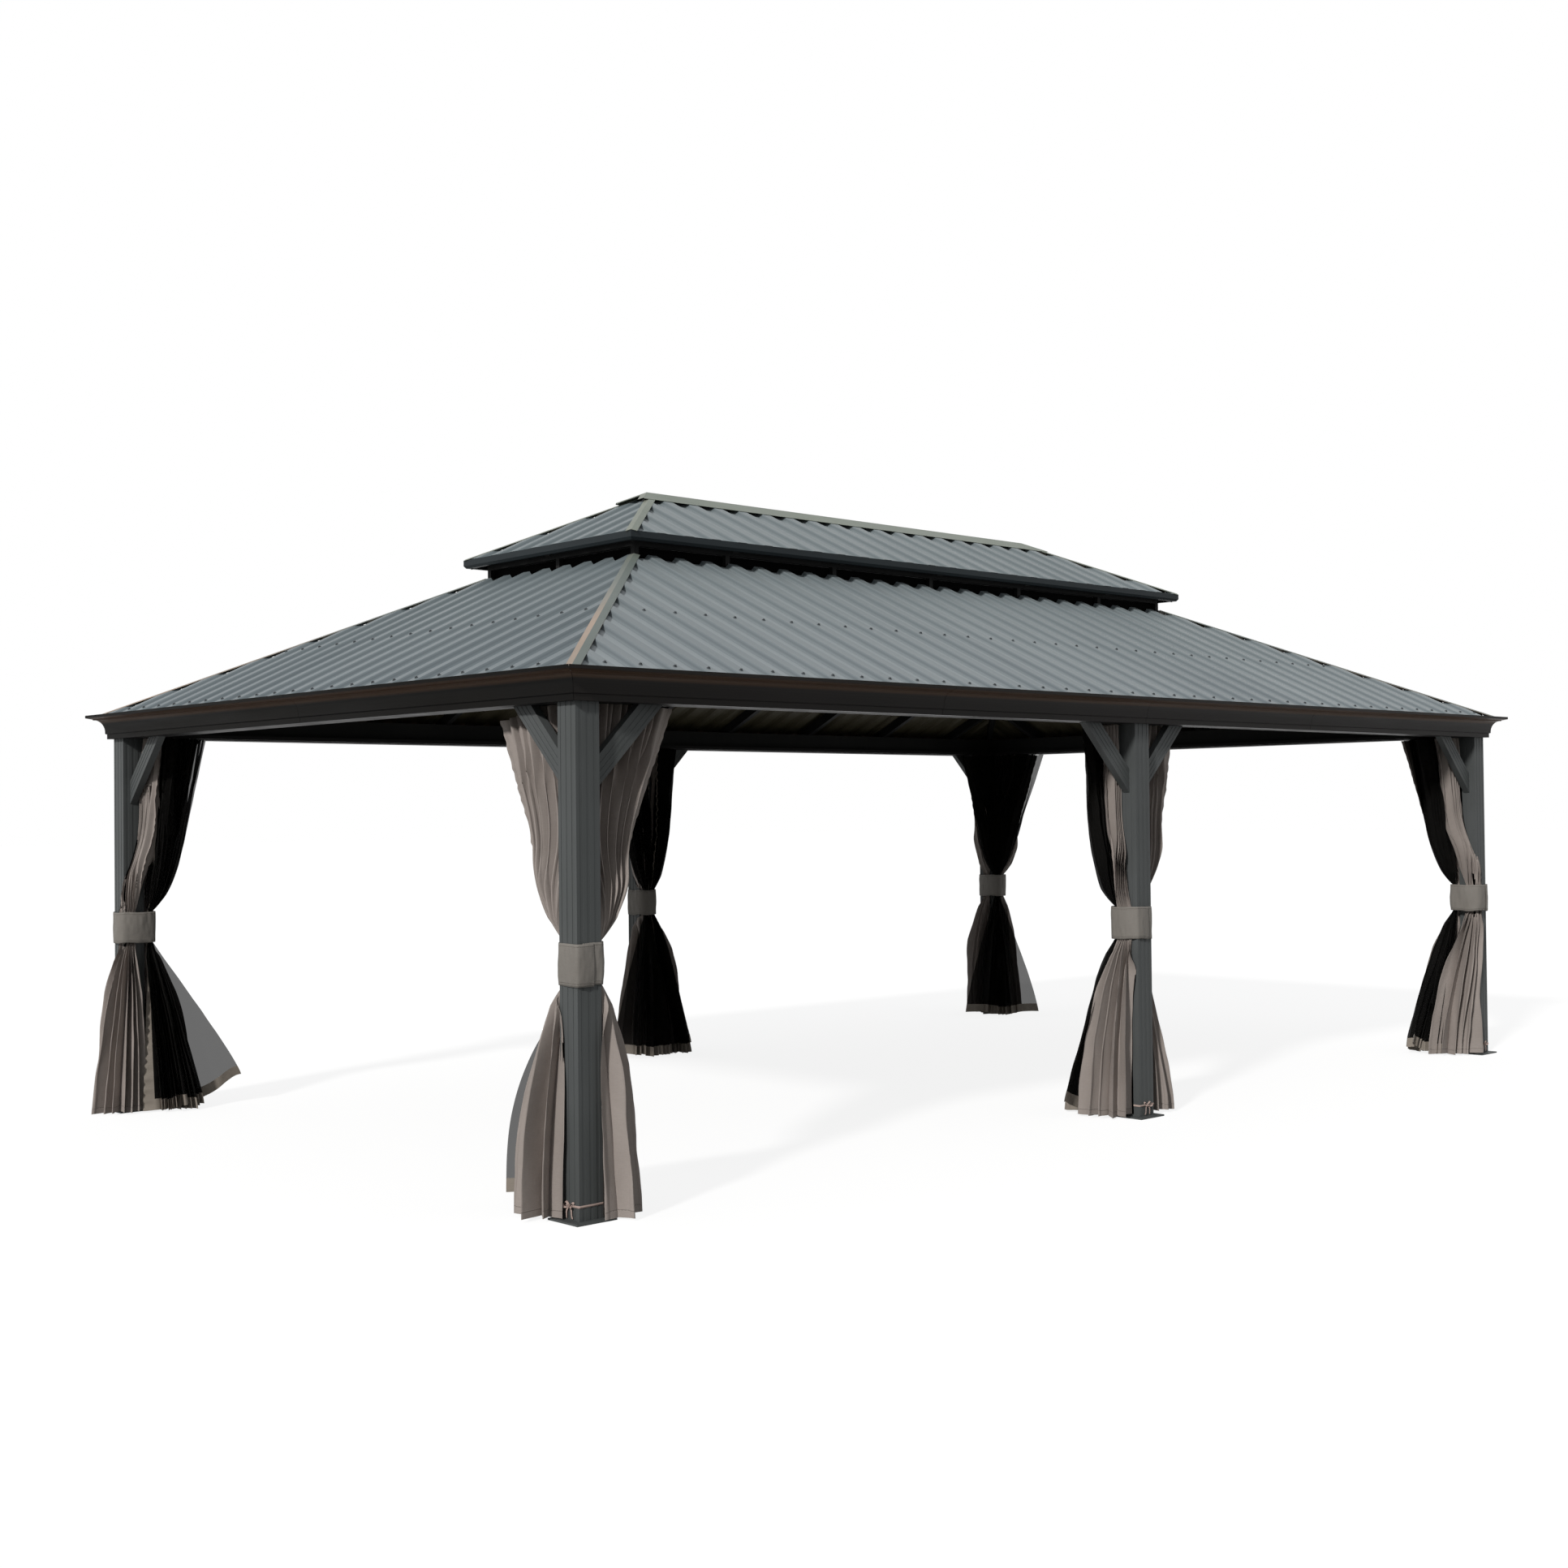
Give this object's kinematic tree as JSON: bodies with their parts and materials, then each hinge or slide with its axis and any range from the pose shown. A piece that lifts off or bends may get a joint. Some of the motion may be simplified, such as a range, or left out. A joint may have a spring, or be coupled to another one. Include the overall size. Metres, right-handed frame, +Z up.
{
  "type": "metal gazebo",
  "caption": "Large rectangular metal gazebo with square posts, a two-tier hipped ribbed-sheet roof with an open vent, a moulded cornice and tied-back curtains",
  "frame": {"origin": "on the ground under the middle of the gazebo", "axes": "+X along the long side to the right seen from the front, +Y to the back, +Z up"},
  "size_m": [7.7344, 4.5844, 3.4439],
  "materials": {
    "frame_metal": "satin slate grey",
    "cornice_metal": "satin dark bronze",
    "roof_sheet": "matt blue-grey",
    "roof_cap": "matt light grey",
    "curtain_cloth": "woven taupe grey",
    "tie_cloth": "woven taupe grey"
  },
  "bodies": {
    "root": {"front_left_post": "frame_metal", "front_middle_post": "frame_metal", "front_right_post": "frame_metal", "back_left_post": "frame_metal", "back_middle_post": "frame_metal", "back_right_post": "frame_metal", "post_feet": "frame_metal", "front_beam": "frame_metal", "back_beam": "frame_metal", "left_beam": "frame_metal", "right_beam": "frame_metal", "front_cornice": "cornice_metal", "back_cornice": "cornice_metal", "left_cornice": "cornice_metal", "right_cornice": "cornice_metal", "front_braces": "frame_metal", "back_braces": "frame_metal", "left_braces": "frame_metal", "right_braces": "frame_metal", "curtain_rails": "frame_metal", "hip_rafters": "frame_metal", "rafters": "frame_metal", "purlins": "frame_metal", "vent_frame": "frame_metal", "front_lower_roof": "roof_sheet", "back_lower_roof": "roof_sheet", "left_lower_roof": "roof_sheet", "right_lower_roof": "roof_sheet", "lower_hip_caps": "roof_cap", "front_upper_roof": "roof_sheet", "back_upper_roof": "roof_sheet", "left_upper_roof": "roof_sheet", "right_upper_roof": "roof_sheet", "upper_fascia": "cornice_metal", "upper_hip_caps": "roof_cap", "ridge_cap": "roof_cap", "upper_rafters": "frame_metal", "front_left_curtain": "curtain_cloth", "front_middle_curtain": "curtain_cloth", "front_right_curtain": "curtain_cloth", "back_left_curtain": "curtain_cloth", "back_middle_curtain": "curtain_cloth", "back_right_curtain": "curtain_cloth", "curtain_ties": "tie_cloth"}
  },
  "joints": []
}
